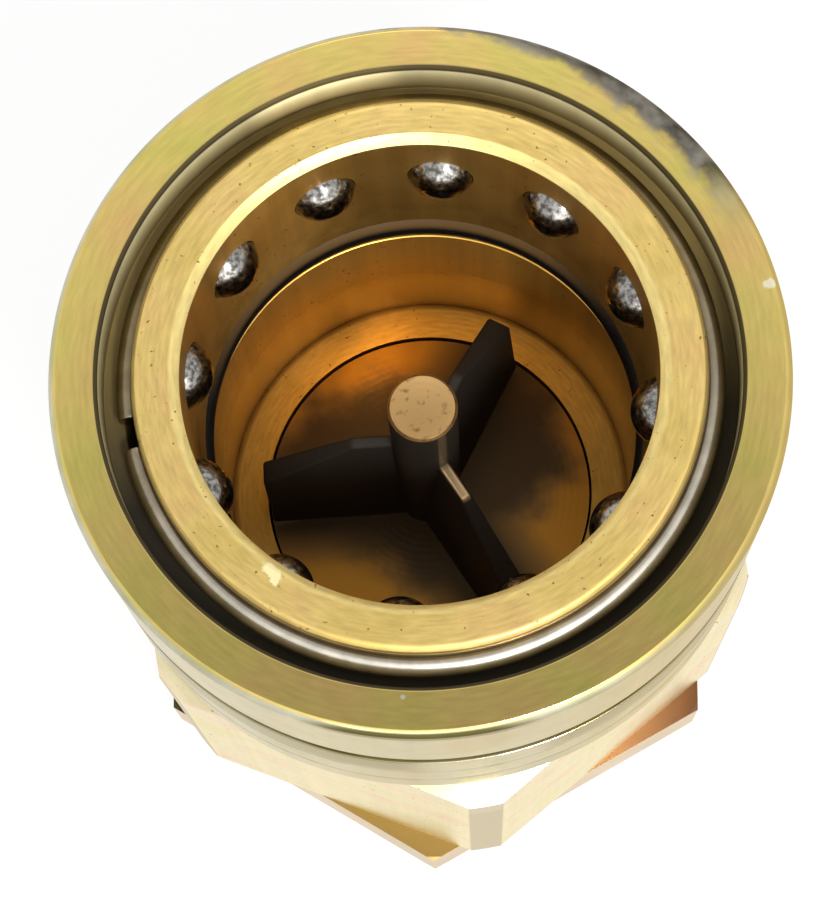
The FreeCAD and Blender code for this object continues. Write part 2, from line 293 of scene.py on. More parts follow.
def arc(centre, radius, start, end, steps):
    """Round stretch of an outline between two angles in degrees, counted from outwards to downwards."""
    points = []
    for step in range(steps + 1):
        angle = math.radians(start + (end - start) * step / steps)
        points.append((centre[0] + radius * math.cos(angle), centre[1] + radius * math.sin(angle)))
    return points


def ring_outline(radius, depth, wire, count=24):
    """Round section of a ring, as points for the lathe."""
    return arc((radius, depth), wire / 2, 0, 360, count)[:-1]


# %% [markdown]
# A piece is finished by modifiers, which are applied at once.


# %% Modifiers and handing over
def apply_modifier(piece, kind, **settings):
    """Adds a modifier with its settings and applies it."""
    only_select(piece)
    modifier = piece.modifiers.new(kind.lower(), kind)
    for name, value in settings.items():
        setattr(modifier, name, value)
    bpy.ops.object.modifier_apply(modifier=modifier.name)


def break_edges(piece, width, segments=2, angle=30, smooth=40):
    """Bevels the sharp edges by a width in millimetres, and keeps the flats between them flat."""
    apply_modifier(piece, "BEVEL", width=width * MM, segments=segments, limit_method="ANGLE",
                   angle_limit=math.radians(angle), miter_outer="MITER_ARC", use_clamp_overlap=True)
    bpy.ops.object.shade_smooth_by_angle(angle=math.radians(smooth))
    apply_modifier(piece, "WEIGHTED_NORMAL", mode="FACE_AREA", weight=80, keep_sharp=True)


def cut_with(piece, cutter, operation="DIFFERENCE"):
    """Cuts a piece with another mesh or joins the two, and deletes the other."""
    apply_modifier(piece, "BOOLEAN", operation=operation, object=cutter, solver="EXACT")
    bpy.data.objects.remove(cutter, do_unlink=True)


def finish_piece(piece, body, slot, material, *nodes):
    """Gives a piece its finish and its body, and lets it stand for its CAD nodes; the slot is not used.
    """
    piece.data.materials.clear()
    piece.data.materials.append(material)
    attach(piece, body)
    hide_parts(*nodes)
    print(piece.name, len(piece.data.polygons), "faces")


# %% [markdown]
# A finish differs from place to place: polished here, rubbed there, oily inside. On a turned part
# the place is told by two numbers, the distance from the axis and the depth below the mouth. The
# next helper works both out in millimetres, from Object coordinates. A Map Range node then makes a
# mask of such a number: 0 on one side of a border, 1 on the other, soft between. The borders are
# places on the real part. A mask that is given as another mask's upper end narrows it down.


# %% Where a point lies
def new_finish(name, metallic=1.0):
    """A material, a function that adds a node to it, and its Principled shader."""
    material = bpy.data.materials.new(name)
    material.use_nodes = True
    shader = material.node_tree.nodes["Principled BSDF"]
    connect(shader, {"Metallic": metallic})
    return material, partial(add_node, material.node_tree), shader


def find_place(add):
    """A point's coordinates, its distance from the axis and its depth below the mouth, in mm."""
    place = add("TexCoord").outputs["Object"]
    flat = add("VectorMath", {0: place, 1: (1 / MM, 1 / MM, 0)}, operation="MULTIPLY")
    radius = add("VectorMath", {0: flat}, operation="LENGTH")
    split = add("SeparateXYZ", {0: place})
    depth = add("Math", {0: split.outputs["Z"], 1: -1 / MM, 2: mouth_height / MM},
                operation="MULTIPLY_ADD")
    return place, radius, depth


def towards(degrees):
    """A side of the axis, as a vector whose dot product with a place is in millimetres."""
    side = math.radians(degrees)
    return math.cos(side) / MM, math.sin(side) / MM, 0


# %% [markdown]
# Three marks come up more than once: the rings that a lathe tool leaves, as bump, streaks that run
# round the axis, as a shade, and chips that have been knocked through the plating.


# %% Marks of the lathe and of use
def turned_bump(add, place, spacing, strength, grit):
    """The rings that a lathe tool leaves, with a fine grit over them; both sizes in millimetres."""
    wave_repeat = math.pi / 10  # a wave texture of scale 1 repeats after this
    mark_depth = 0.02 * MM
    rings = add("TexWave", {
        "Vector": place, "Scale": wave_repeat / (spacing * MM), "Distortion": 2.5, "Detail": 3.0},
        wave_type="RINGS", rings_direction="Z")
    specks = add("TexNoise", {"Vector": place, "Scale": 1 / (grit * MM), "Detail": 3.0})
    both_heights = add("Math", {0: rings.outputs["Fac"], 1: specks})
    return add("Bump", {"Height": both_heights, "Strength": strength, "Distance": mark_depth})


def turned_streaks(add, place, radius, fine, once_round=70.0):
    """Marks that run round the axis: a few tenths of a millimetre wide, some millimetres long."""
    turned_to = add("TexGradient", {0: place}, gradient_type="RADIAL")
    across = add("Math", {0: radius, 1: 1 / fine}, operation="MULTIPLY")
    along = add("Math", {0: turned_to.outputs["Fac"], 1: once_round}, operation="MULTIPLY")
    spread = add("CombineXYZ", {"X": across, "Y": along})
    return add("TexNoise", {"Vector": spread, "Scale": 1.0, "Detail": 4.0})


def add_chips(add, place, colour, chips, chip_colour):
    """Lays ragged bright chips on the front faces, each with its x, y and size in millimetres."""
    ragged = add("TexNoise", {"Vector": place, "Scale": 1 / (0.6 * MM), "Detail": 3.0})
    for x, y, size in chips:
        middle = (x * MM, y * MM, mouth_height)
        away = add("VectorMath", {0: place, 1: middle}, operation="DISTANCE")
        edge = add("Math", {0: ragged, 1: size * MM, 2: away}, operation="MULTIPLY_ADD")
        chipped = add("MapRange", {0: edge, 1: 1.1 * size * MM, 2: 0.9 * size * MM})
        colour = add("Mix", {0: chipped, 6: colour, 7: chip_colour}, **COLOURS)
    return colour


# %% [markdown]
# The sleeve and the body are steel, zinc plated and yellow chromated. Chromate is a film a few tenths
# of a micrometre thick, so its gold drifts towards green and pink over patches some millimetres wide.
# The sleeve's face is polished olive gold. Its side is nearly colourless, warmer towards the right,
# and behind the grip groove a gold band is left. At the very front the band is left off, so that
# the pale side there stands in as a painted highlight.

# %% Colours of the sleeve
sleeve_finish, add, shader = new_finish("yellow_chromate_sleeve")
place, radius, depth = find_place(add)
drift = add("TexNoise", {"Vector": place, "Scale": 1 / (8 * MM), "Detail": 4.0})
face_tint = add("ValToRGB", {0: drift}, [(0.32, "#cfc268"), (0.72, "#dcb674"), (0.5, "#d8c070")])
side_tint = add("ValToRGB", {0: drift}, [(0.38, "#b8b698"), (0.64, "#c4b99a"), (0.5, "#cac8b2")])
split = add("SeparateXYZ", {0: place})
warm = add("MapRange", {0: split.outputs["X"], 1: 4 * MM, 2: 22 * MM})
side_tint = add("Mix", {0: warm, 6: side_tint, 7: "#c2ab6a"}, **COLOURS)
past_groove = add("MapRange", {0: depth, 1: 12.5, 2: 12.7})
in_band = add("MapRange", {0: depth, 1: 17.2, 2: 16.2, 4: past_groove})
# painted highlight: the band stops at the very front, where the pale side stands for a reflection
forwards = add("VectorMath", {0: place, 1: towards(-90)}, operation="DOT_PRODUCT")
in_band = add("MapRange", {0: forwards, 1: 27.4, 2: 26.6, 4: in_band}, **SOFT_STEP)
side_tint = add("Mix", {0: in_band, 6: side_tint, 7: "#827a44"}, **COLOURS)
on_side = add("MapRange", {0: radius, 1: 27.0, 2: 27.3}, **SOFT_STEP)
colour = add("Mix", {0: on_side, 6: face_tint, 7: side_tint}, **COLOURS)
print("gold, band and side of", sleeve_finish.name)

# %% [markdown]
# Then painted shade and light. The turned grooves of the side are painted darker, as painted shade,
# and a dark line under the front edge is a painted dark reflection. The recess inside has a dark line
# at its top edge, a pale painted highlight down its wall, lightest at the back with one painted glint,
# and painted shade on its floor, from brown at the back to black at the front.

# %% Painted shade and light on the sleeve
# painted shade in the side's grooves behind the face
behind_face = add("MapRange", {0: depth, 1: 9.5, 2: 10.5})
in_groove = add("MapRange", {0: radius, 1: 27.45, 2: 27.2, 4: behind_face})
groove_shade_tint = add("ValToRGB", {0: drift}, [(0.36, "#7d7146"), (0.62, "#b5a878")])
colour = add("Mix", {0: in_groove, 6: colour, 7: groove_shade_tint}, **COLOURS)
# painted dark reflection: a dark line on the side under the front edge, at the front
to_front = add("VectorMath", {0: place, 1: towards(-100)}, operation="DOT_PRODUCT")
at_front = add("MapRange", {0: to_front, 1: 25.8, 2: 27.0}, **SOFT_STEP)
near_edge = add("MapRange", {0: depth, 1: 1.7, 2: 1.2, 4: at_front})
under_edge = add("MapRange", {0: radius, 1: 27.12, 2: 27.26, 4: near_edge})
colour = add("Mix", {0: under_edge, 6: colour, 7: "#6a6338"}, **COLOURS)
# the recess: a dark top edge, then a pale painted highlight down its wall
in_recess = add("MapRange", {0: radius, 1: 24.2, 2: 24.1})
recess_depth = add("MapRange", {0: depth, 1: 0.0, 2: 4.0})
recess_light_and_shade = add("ValToRGB", {0: recess_depth}, [
    (0.0, "#4a3e20"), (1.0, "#6e5c34"), (0.10, "#4a3e20"), (0.16, "#fff2bc"), (0.5, "#e0cc92"),
    (0.82, "#a8905a")])
# a painted glint on the recess wall at the back, and painted shade towards the sides
to_glint = add("VectorMath", {0: place, 1: towards(98)}, operation="DOT_PRODUCT")
glint = add("MapRange", {0: to_glint, 1: 23.0, 2: 23.7, 3: 0.62, 4: 1.25}, **SOFT_STEP)
to_back = add("MapRange", {0: split.outputs["Y"], 1: 10 * MM, 2: 18 * MM, 3: 0.45, 4: glint})
recess_light_and_shade = add("Mix", {0: 1.0, 6: recess_light_and_shade, 7: to_back}, **MULTIPLY)
# painted shade on the recess floor, brown at the back and black at the front
at_rear = add("MapRange", {0: split.outputs["Y"], 1: -6 * MM, 2: 8 * MM})
recess_floor_shade = add("Mix", {0: at_rear, 6: "#1a150d", 7: "#7a683c"}, **COLOURS)
on_floor = add("MapRange", {0: depth, 1: 3.3, 2: 3.6})
recess_light_and_shade = add("Mix", {0: on_floor, 6: recess_light_and_shade, 7: recess_floor_shade}, **COLOURS)
colour = add("Mix", {0: in_recess, 6: colour, 7: recess_light_and_shade}, **COLOURS)
print("grooves and recess of", sleeve_finish.name)

# %% [markdown]
# Last the wear. The far right of the face is rubbed down to grey zinc. The patch needs four masks: near
# the outer edge, narrower towards its far end, past its near end, which a radial gradient tells, and
# not down the side. Its border is ragged, because a noise is added to the radius. Two bright chips
# are knocked out of the face. The rubbed patch and the recess are dull, the rest is polished.

# %% Wear and gloss of the sleeve
streaks = turned_streaks(add, place, radius, fine=0.35)
shade = add("MapRange", {0: streaks, 1: 0.3, 2: 0.7, 3: 0.92, 4: 1.08})
colour = add("Mix", {0: 1.0, 6: colour, 7: shade}, **MULTIPLY)
turned_to = add("TexGradient", {0: place}, gradient_type="RADIAL")
narrower = add("MapRange", {0: turned_to.outputs["Fac"], 1: 0.62, 2: 0.86, 3: 0.0, 4: -4.5})
rub_noise = add("TexNoise", {"Vector": place, "Scale": 1 / (2.2 * MM), "Detail": 6.0})
rub_edge = add("Math", {0: rub_noise, 1: 3.0, 2: radius}, operation="MULTIPLY_ADD")
rub_edge = add("Math", {0: rub_edge, 1: narrower})
rubbed = add("MapRange", {0: rub_edge, 1: 26.4, 2: 27.7}, **SOFT_STEP)
rubbed = add("MapRange", {0: turned_to.outputs["Fac"], 1: 0.525, 2: 0.58, 4: rubbed}, **SOFT_STEP)
rubbed = add("MapRange", {0: depth, 1: 2.2, 2: 0.5, 4: rubbed})
zinc_tint = add("ValToRGB", {0: rub_noise}, [(0.35, "#4c4842"), (0.62, "#8b867c")])
colour = add("Mix", {0: rubbed, 6: colour, 7: zinc_tint}, **COLOURS)
face_chips = [(26.7, 1.6, 0.9), (-5.4, -24.0, 0.35)]
colour = add_chips(add, place, colour, face_chips, "#f0e8c8")
dull = add("Math", {0: rubbed, 1: in_recess}, operation="MAXIMUM")
roughness = add("MapRange", {0: dull, 3: 0.19, 4: 0.65})
metal = add("MapRange", {0: in_recess, 3: 1.0, 4: 0.15})
grazing_tint = add("Mix", {0: warm, 6: "#f5ead0", 7: "#ead8a4"}, **COLOURS)
connect(shader, {"Base Color": colour, "Metallic": metal, "Roughness": roughness,
                 "Specular Tint": grazing_tint,
                 "Normal": turned_bump(add, place, spacing=0.5, strength=0.04, grit=0.3)})
print("made", sleeve_finish.name)

# %% [markdown]
# The body's rim is a sawn-off matt gold, the bore behind it is smooth. Light that gets into the bore
# bounces off gold two or three times before it comes out, which is why gold looks amber down there,
# and below the seal the bore is painted a brighter amber than its entry as well, painted light. The
# bore is darker towards its near side. Painted shade darkens the corner above the ledge and the barrel
# behind the rim, the mouth's chamfer gets a painted highlight, and on the back of the entry painted
# light brightens the left while painted shade darkens the right.

# %% Rim and bore of the body
body_finish, add, shader = new_finish("yellow_chromate_body")
place, radius, depth = find_place(add)
drift = add("TexNoise", {"Vector": place, "Scale": 1 / (7 * MM), "Detail": 5.0})
rim_tint = add("ValToRGB", {0: drift}, [(0.34, "#d4b86c"), (0.68, "#dab676"), (0.5, "#dabe74")])
entry_tint = add("ValToRGB", {0: drift}, [(0.34, "#b4863e"), (0.68, "#c4984e")])
# painted light: below the seal the bore is tinted a brighter amber than its entry
deep_tint = add("ValToRGB", {0: drift}, [(0.34, "#d8a44a"), (0.68, "#e2b056")])
past_seal = add("MapRange", {0: depth, 1: 14.0, 2: 19.0}, **SOFT_STEP)
bore_tint = add("Mix", {0: past_seal, 6: entry_tint, 7: deep_tint}, **COLOURS)
split = add("SeparateXYZ", {0: place})
# darker towards the near side, lighter towards the back
darker_to_front = add("MapRange", {0: split.outputs["Y"], 1: 0.0, 2: 15 * MM, 3: 0.62, 4: 1.1})
bore_tint = add("Mix", {0: 1.0, 6: bore_tint, 7: darker_to_front}, **MULTIPLY)
# painted light and shade on the back of the entry: brighter to the left, darker to the right
to_left = add("MapRange", {0: split.outputs["X"], 1: -1 * MM, 2: -8 * MM, 3: 0.74, 4: 1.4}, **SOFT_STEP)
at_back = add("MapRange", {0: split.outputs["Y"], 1: 9 * MM, 2: 14 * MM, 3: 1.0, 4: to_left})
entry_shade = add("Mix", {0: past_seal, 2: at_back, 3: 1.0})
bore_tint = add("Mix", {0: 1.0, 6: bore_tint, 7: entry_shade}, **MULTIPLY)
# painted shade in the corner above the ledge
in_corner = add("MapRange", {0: depth, 1: 25.0, 2: 35.0, 4: 0.92})
on_wall = add("MapRange", {0: radius, 1: 16.7, 2: 17.2, 4: in_corner})
bore_tint = add("Mix", {0: on_wall, 6: bore_tint, 7: "#7a5220"}, **COLOURS)
in_bore = add("MapRange", {0: depth, 1: 0.65, 2: 0.9}, **SOFT_STEP)
# painted highlight: the mouth's chamfer is tinted pale and bright
on_chamfer = add("MapRange", {0: radius, 1: 18.65, 2: 18.45})
rim_tint = add("Mix", {0: on_chamfer, 6: rim_tint, 7: "#ecd68c"}, **COLOURS)
colour = add("Mix", {0: in_bore, 6: rim_tint, 7: bore_tint}, **COLOURS)
# painted shade: the barrel behind the rim, seen in the gap under the sleeve, is painted dark
behind_rim = add("MapRange", {0: depth, 1: 0.7, 2: 1.0})
on_land = add("MapRange", {0: radius, 1: 20.5, 2: 20.7, 4: behind_rim})
colour = add("Mix", {0: on_land, 6: colour, 7: "#4e3e20"}, **COLOURS)
print("rim and bore of", body_finish.name)

# %% [markdown]
# The hex at the back has been wiped and handled until only a cream tint is left. Its turned corners
# are painted greyer, a painted dark reflection. Fine turned streaks, dark specks and a nick in the rim
# lie over all of it. The rim is matt, and the bore gets smoother and barer below the seal, where the
# plug has polished it.

# %% Hex, marks and gloss of the body
hex_tint = add("ValToRGB", {0: drift}, [(0.36, "#ece2b4"), (0.66, "#f0dab6"), (0.5, "#f2e6c0")])
on_hex = add("MapRange", {0: radius, 1: 22.5, 2: 24.0}, **SOFT_STEP)
colour = add("Mix", {0: on_hex, 6: colour, 7: hex_tint}, **COLOURS)
hex_top = add("MapRange", {0: depth, 1: 33.0, 2: 31.6, 4: on_hex})
colour = add("Mix", {0: hex_top, 6: colour, 7: "#c8c090"}, **COLOURS)
# painted dark reflection: the turned corners are tinted greyer
on_corner = add("MapRange", {0: radius, 1: 28.48, 2: 28.54})
colour = add("Mix", {0: on_corner, 6: colour, 7: "#c6ba9a"}, **COLOURS)
streaks = turned_streaks(add, place, radius, fine=0.3)
darkest = add("MapRange", {0: on_hex, 3: 0.86, 4: 0.95})
lightest = add("MapRange", {0: on_hex, 3: 1.12, 4: 1.04})
shade = add("MapRange", {0: streaks, 1: 0.3, 2: 0.7, 3: darkest, 4: lightest})
colour = add("Mix", {0: 1.0, 6: colour, 7: shade}, **MULTIPLY)
specks = add("TexNoise", {"Vector": place, "Scale": 1 / (0.5 * MM), "Detail": 2.0})
dark_speck = add("MapRange", {0: specks, 1: 0.69, 2: 0.75})
colour = add("Mix", {0: dark_speck, 6: colour, 7: "#7a5c2e"}, **COLOURS)
rim_nick = [(-13.3, -12.95, 1.0), (-12.95, -13.5, 1.0), (-13.1, -14.0, 0.7)]
colour = add_chips(add, place, colour, rim_nick, "#fff3b8")
under_seal = add("MapRange", {0: depth, 1: 22.0, 2: 29.0, 3: 0.34, 4: 0.26})
on_ledge = add("MapRange", {0: depth, 1: 36.3, 2: 36.6, 3: under_seal, 4: 0.36})
wall_dull = add("Mix", {0: past_seal, 2: 0.50, 3: on_ledge})
roughness = add("Mix", {0: in_bore, 2: 0.40, 3: wall_dull})
deep_metal = add("MapRange", {0: depth, 1: 22.0, 2: 29.0, 3: 0.8, 4: 0.94})
wall_metal = add("Mix", {0: past_seal, 2: 0.87, 3: deep_metal})
metal = add("Mix", {0: in_bore, 2: 1.0, 3: wall_metal})
connect(shader, {"Base Color": colour, "Metallic": metal, "Roughness": roughness,
                 "Specular Tint": "#fcf6e8",
                 "Normal": turned_bump(add, place, spacing=0.45, strength=0.16, grit=0.4)})
print("made", body_finish.name)

# %% [markdown]
# The end adapter carries the same plating. The step that shows round the body's hex has gone brown
# with oil, and darker still at the two corners that stand out furthest.

# %% Finish of the adapter
adapter_finish, add, shader = new_finish("yellow_chromate_adapter")
place, _, depth = find_place(add)
drift = add("TexNoise", {"Vector": place, "Scale": 1 / (11 * MM), "Detail": 4.0})
tint = add("ValToRGB", {0: drift}, [(0.36, "#cdb684"), (0.66, "#e4cda0"), (0.5, "#d8b988")])
split = add("SeparateXYZ", {0: place})
to_right = add("MapRange", {0: split.outputs["X"], 1: -24 * MM, 2: 24 * MM})
brown = add("ValToRGB", {0: to_right}, [
    (0.05, "#4e462e"), (1.0, "#64402c"), (0.15, "#ad9058"), (0.6, "#ad9058"), (0.78, "#c0916a")])
on_step = add("MapRange", {0: depth, 1: 64.5, 2: 64.2})
colour = add("Mix", {0: on_step, 6: tint, 7: brown}, **COLOURS)
connect(shader, {"Base Color": colour, "Roughness": 0.3,
                 "Normal": turned_bump(add, place, spacing=0.6, strength=0.08, grit=0.6)})
print("made", adapter_finish.name)

# %% [markdown]
# The balls are bearing steel, dulled by small pits, so the white of the room breaks up on them. The
# springs are drawn wire, smooth and grey. The pits are a few tenths of a millimetre apart and the
# drawing marks a little more, as coarse as they need to be to show.


# %% Steel finishes
def pitted_steel(name, dark, light, roughness, pit, strength):
    """Bare steel with pits of a given size in millimetres."""
    material, add, shader = new_finish(name)
    place = add("TexCoord").outputs["Object"]
    pits = add("TexNoise", {"Vector": place, "Scale": 1 / (pit * MM), "Detail": 4.0})
    tint = add("ValToRGB", {0: pits}, [(0.38, dark), (0.6, light)])
    bump = add("Bump", {"Height": pits, "Strength": strength, "Distance": 0.05 * MM})
    connect(shader, {"Base Color": tint, "Roughness": roughness, "Normal": bump})
    return material


ball_finish = pitted_steel("bearing_steel", "#54524f", "#a09d98", roughness=0.2, pit=0.4, strength=0.42)
wire_finish = pitted_steel(
    "drawn_spring_wire", "#8a847a", "#a59e92", roughness=0.27, pit=1.6, strength=0.08)
print("made", ball_finish.name, "and", wire_finish.name)

# %% [markdown]
# The retaining ring is the same wire. A ramp from front to back gives its colour: a painted highlight
# makes its front bright, and its back is brown, tarnish together with a painted reflection of the
# gold round it. The drawing marks shade it.

# %% Finish of the retaining ring
ring_finish, add, shader = new_finish("ring_wire_highlight_and_tarnish")
place = add("TexCoord").outputs["Object"]
marks = add("TexNoise", {"Vector": place, "Scale": 1 / (1.6 * MM), "Detail": 4.0})
split = add("SeparateXYZ", {0: place})
# painted highlight at the front; tarnish and a painted gold reflection at the back
to_back = add("MapRange", {0: split.outputs["Y"], 1: -18 * MM, 2: 14 * MM})
highlight_and_tarnish = add("ValToRGB", {0: to_back},
              [(0.0, "#cfc8b8"), (1.0, "#62522e"), (0.45, "#968a74"), (0.72, "#857658")])
shade = add("MapRange", {0: marks, 1: 0.35, 2: 0.65, 3: 0.84, 4: 1.1})
colour = add("Mix", {0: 1.0, 6: highlight_and_tarnish, 7: shade}, **MULTIPLY)
bump = add("Bump", {"Height": marks, "Strength": 0.08, "Distance": 0.05 * MM})
connect(shader, {"Base Color": colour, "Roughness": 0.27, "Normal": bump})
print("made", ring_finish.name)

# %% [markdown]
# The valve is brass gone dark with oil. Its face is darkened by oil and by painted shade of the wings,
# most on one side of each wing and near the pin, and painted light brightens it to amber towards the
# rim and the front. So a level is added up: it rises with the radius and towards the front, and falls
# with the turn past the last wing. A ramp colours the level.

# %% Face of the valve
face_depth, wing_angle, wing_count = 37.1, 53.3, 3
poppet_finish, add, shader = new_finish("browned_brass")
place, radius, depth = find_place(add)
turned_to = add("TexGradient", {0: place}, gradient_type="RADIAL")
# a radial gradient runs from 0 to 1 once round and starts at the left
first_wing = wing_angle / 360 + 0.5
wings_passed = add("Math", {
    0: turned_to.outputs["Fac"], 1: wing_count, 2: -wing_count * first_wing}, operation="MULTIPLY_ADD")
past_wing = add("Math", {0: wings_passed}, operation="FRACT")
forwards = add("VectorMath", {0: place, 1: towards(-90)}, operation="DOT_PRODUCT")
in_front = add("Math", {0: forwards, 1: 0.0}, operation="MAXIMUM")
stain = add("TexNoise", {"Vector": place, "Scale": 1 / (3.5 * MM), "Detail": 4.0})
# oil, stain and painted shade of the wings, with painted light towards the rim and the front
level = add("Math", {0: radius, 1: 0.095, 2: -0.45}, operation="MULTIPLY_ADD")
for source, share in ((past_wing, -0.8), (in_front, 0.06), (stain, 0.7)):
    level = add("Math", {0: source, 1: share, 2: level}, operation="MULTIPLY_ADD")
clean_and_lit = add("MapRange", {0: level, 1: 0.35, 2: 0.95}, **SOFT_STEP)
nearest_wing = add("Math", {0: past_wing, 1: 0.5}, operation="PINGPONG")
wing_distance = add("Math", {0: nearest_wing, 1: radius}, operation="MULTIPLY")
clean_and_lit = add("MapRange", {0: wing_distance, 1: 1.2, 2: 3.2, 4: clean_and_lit})
face_tint = add("ValToRGB", {0: clean_and_lit}, [(0.0, "#4a3a28"), (1.0, "#a8742c"), (0.5, "#7c5a30")])
print("face of", poppet_finish.name)

# %% [markdown]
# The wings and the pin's side are near black, oil together with painted shade, and have no metal.
# Plugs push on the end of the pin, which is rubbed bright. One wing's top carries a painted highlight
# along its ridge.

# %% Wings and pin of the valve
# the wings and the pin's side are painted near black: oil and painted shade
above_face = add("MapRange", {0: depth, 1: face_depth - 0.05, 2: face_depth - 0.5})
colour = add("Mix", {0: above_face, 6: face_tint, 7: "#2e2924"}, **COLOURS)
scratch = add("TexNoise", {"Vector": place, "Scale": 1 / (0.7 * MM), "Detail": 5.0})
pin_tint = add("ValToRGB", {0: scratch}, [(0.30, "#8c6c42"), (0.44, "#bd9863")])
on_pin_end = add("MapRange", {0: depth, 1: 11.0, 2: 10.7})
colour = add("Mix", {0: on_pin_end, 6: colour, 7: pin_tint}, **COLOURS)
# painted highlight: one wing's top ridge is painted light tan and left bare
glinting_wing = wing_angle - 360 / wing_count
along_wing = add("VectorMath", {0: place, 1: towards(glinting_wing)}, operation="DOT_PRODUCT")
on_wing = add("MapRange", {0: along_wing, 1: 2.6, 2: 3.2})
across_wing = add("VectorMath", {0: place, 1: towards(glinting_wing + 90)}, operation="DOT_PRODUCT")
from_ridge = add("Math", {0: across_wing}, operation="ABSOLUTE")
on_ridge = add("MapRange", {0: from_ridge, 1: 0.45, 2: 0.3, 4: on_wing})
wing_glint = add("MapRange", {0: depth, 1: 19.8, 2: 19.55, 4: on_ridge})
colour = add("Mix", {0: wing_glint, 6: colour, 7: "#b89c74"}, **COLOURS)
bare = add("Math", {0: on_pin_end, 1: wing_glint}, operation="MAXIMUM")
oil_and_shade = add("Math", {0: above_face, 1: bare}, operation="SUBTRACT")
metal = add("Math", {0: 1.0, 1: oil_and_shade}, operation="SUBTRACT", use_clamp=True)
roughness = add("MapRange", {0: oil_and_shade, 3: 0.34, 4: 0.6})
connect(shader, {"Base Color": colour, "Metallic": metal, "Roughness": roughness,
                 "Specular IOR Level": 0.25,
                 "Normal": turned_bump(add, place, spacing=0.6, strength=0.12, grit=0.4)})
print("made", poppet_finish.name)

# %% [markdown]
# The guide behind the valve is the same brass but cleaner. The seals are black nitrile rubber,
# moulded in a matt mould. The top of the one that the plug slides into is painted brown at the back,
# painted shade that stands for the shaded wall above it.

# %% Guide and rubber
guide_finish, add, shader = new_finish("machined_brass")
place = add("TexCoord").outputs["Object"]
stain = add("TexNoise", {"Vector": place, "Scale": 1 / (4 * MM), "Detail": 5.0})
tint = add("ValToRGB", {0: stain}, [(0.36, "#a8803f"), (0.66, "#d2aa64")])
connect(shader, {"Base Color": tint, "Roughness": 0.34,
                 "Normal": turned_bump(add, place, spacing=0.5, strength=0.12, grit=0.5)})

seal_finish, add, shader = new_finish("nitrile_rubber", metallic=0.0)
place, _, depth = find_place(add)
skin = add("TexNoise", {"Vector": place, "Scale": 1 / (0.4 * MM), "Detail": 3.0})
tint = add("ValToRGB", {0: skin}, [(0.3, "#080808"), (0.7, "#12110f")])
split = add("SeparateXYZ", {0: place})
# painted shade: the seal's top at the back is painted brown like the shaded wall
at_back = add("MapRange", {0: split.outputs["Y"], 1: 5 * MM, 2: 14 * MM})
seal_top_shade = add("MapRange", {0: depth, 1: 16.9, 2: 16.5, 4: at_back})
colour = add("Mix", {0: seal_top_shade, 6: tint, 7: "#5c4422"}, **COLOURS)
bump = add("Bump", {"Height": skin, "Strength": 0.2, "Distance": 0.03 * MM})
connect(shader, {
    "Base Color": colour, "Roughness": 0.55, "Specular IOR Level": 0.2, "Normal": bump})
print("made", guide_finish.name, "and", seal_finish.name)

# %% [markdown]
# The locking sleeve slides on the barrel. Its front face is flat and polished, a deep recess leaves
# room for the retaining ring, and a cone inside presses the balls into the plug's groove.

# %% Locking sleeve
sleeve_radius, recess_radius, skirt_radius = 27.506, 23.856, 24.206
sleeve_edge, recess_edge, sleeve_length = 0.5, 0.25, 25.185
grip_start, grip_end, grip_root, grip_slope = 10.6, 12.6, 26.606, 0.45
line_depths, line_root, line_width = (16.795, 20.990), 27.256, 0.5
recess_floor, cone_radius, land_radius, land_start, land_end = 3.7, 22.367, 21.486, 7.369, 9.369
front_edge = [
    (recess_radius + recess_edge, 0), (sleeve_radius - sleeve_edge, 0), (sleeve_radius, sleeve_edge)]
grip_groove = [
    (sleeve_radius, grip_start), (grip_root, grip_start + grip_slope), (grip_root, grip_end),
    (sleeve_radius, grip_end)]
fine_lines = []
for line_start in line_depths:
    fine_lines += [(sleeve_radius, line_start), (line_root, line_start + line_width / 2),
                   (sleeve_radius, line_start + line_width)]
back_edge = [
    (sleeve_radius, sleeve_length - sleeve_edge), (sleeve_radius - sleeve_edge, sleeve_length),
    (skirt_radius, sleeve_length)]
inside = [
    (skirt_radius, land_end), (land_radius, land_end), (land_radius, land_start),
    (cone_radius, recess_floor), (recess_radius, recess_floor), (recess_radius, recess_edge)]
sleeve = turn_on_lathe("sleeve", front_edge + grip_groove + fine_lines + back_edge + inside, steps=256)
break_edges(sleeve, 0.1)
finish_piece(sleeve, "sleeve", "sleeve_chromate", sleeve_finish, "locking_sleeve")

# %% [markdown]
# The body is one turned part too. Its hex is what is left of a round bar after six flats are milled,
# so it is made the same way: a hexagonal frame cuts the bar.


# %% Wrench flats
def flats_cutter(across_corners, angle, start, end):
    """A hexagonal frame, longer than the hex, that takes away all that lies outside its flats."""
    spare, outer_size = 1.0, 1.3
    start, end = start - spare, end + spare
    cutter = start_piece(
        "flats_cutter", bpy.ops.mesh.primitive_circle_add, vertices=6, radius=across_corners * MM,
        location=(0, 0, height(end)), rotation=(0, 0, math.radians(angle - 90)))
    bpy.ops.mesh.extrude_region_move(TRANSFORM_OT_translate={"value": (0, 0, 0)})
    bpy.ops.transform.resize(value=(outer_size, outer_size, 1), center_override=(0, 0, height(end)))
    bpy.ops.mesh.select_all(action="SELECT")
    bpy.ops.mesh.extrude_region_move(TRANSFORM_OT_translate={"value": (0, 0, (end - start) * MM)})
    close_mesh()
    return cutter


# %% [markdown]
# The ball holes are drilled into the barrel from outside with a round-nosed cutter. It stops before
# the hole is as wide as a ball on the inside, so a ball stands out into the bore but can't fall into
# it. The cutter is half a sphere, drawn out to a rod and copied round the axis.

# %% Ball holes
ball_count, first_ball = 12, 15.0
ball_centre = Vector((18.728 * MM, 0, height(6.7)))
hole_radius, hole_length = 2.828, 6
